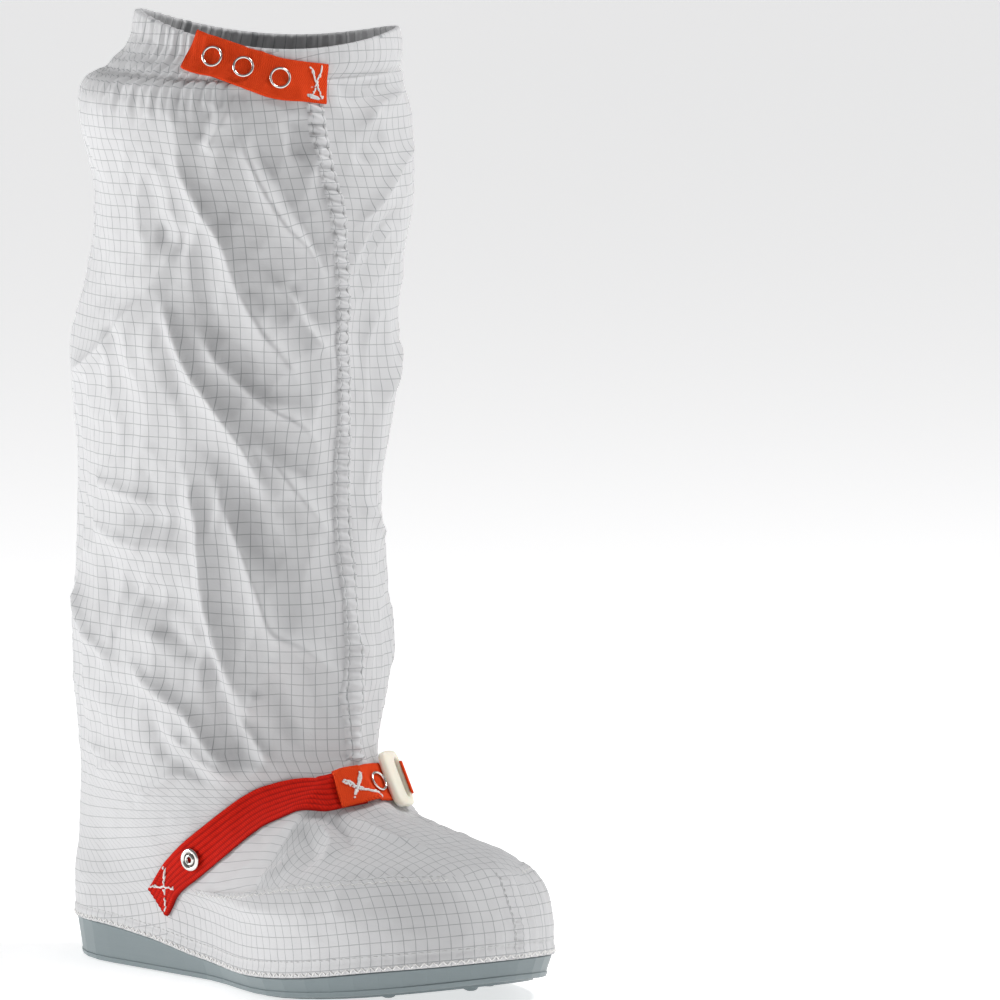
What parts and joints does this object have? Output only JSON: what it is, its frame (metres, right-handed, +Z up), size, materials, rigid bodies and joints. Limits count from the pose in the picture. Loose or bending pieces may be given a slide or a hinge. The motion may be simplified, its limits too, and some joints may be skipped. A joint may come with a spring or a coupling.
{
  "type": "cleanroom overboot",
  "caption": "Calf-high white cleanroom overboot with a moulded grey tray sole, red elastic ankle strap and a red snap tape at the collar",
  "frame": {"origin": "Floor under the flat part of the forefoot tread, on the middle line, at half the length of the sole", "axes": "+Z up the shaft, +X towards the toe, -Y the outer side of the right foot"},
  "size_m": [0.2769, 0.1448, 0.4177],
  "materials": {
    "cloth": "matte white polyester with a fine grey carbon grid",
    "sole": "smooth blue-grey moulded soling, pebbled under the forefoot",
    "insole": "plain pale lining sheet",
    "elastic": "ribbed woven red elastic",
    "tape": "herringbone woven orange-red tape",
    "snap": "bright nickel-plated rings",
    "buckle": "smooth cream plastic"
  },
  "bodies": {
    "root": {"outsole": "sole", "insole": "insole", "upper": "cloth", "ankle_elastic_outer": "elastic", "ankle_elastic_inner": "elastic", "ankle_tape_tab": "tape", "collar_tape": "tape", "collar_snap_1": "snap", "collar_snap_2": "snap", "collar_snap_3": "snap", "ankle_snap": "snap", "ankle_snap_socket": "snap", "buckle": "buckle"}
  },
  "joints": []
}
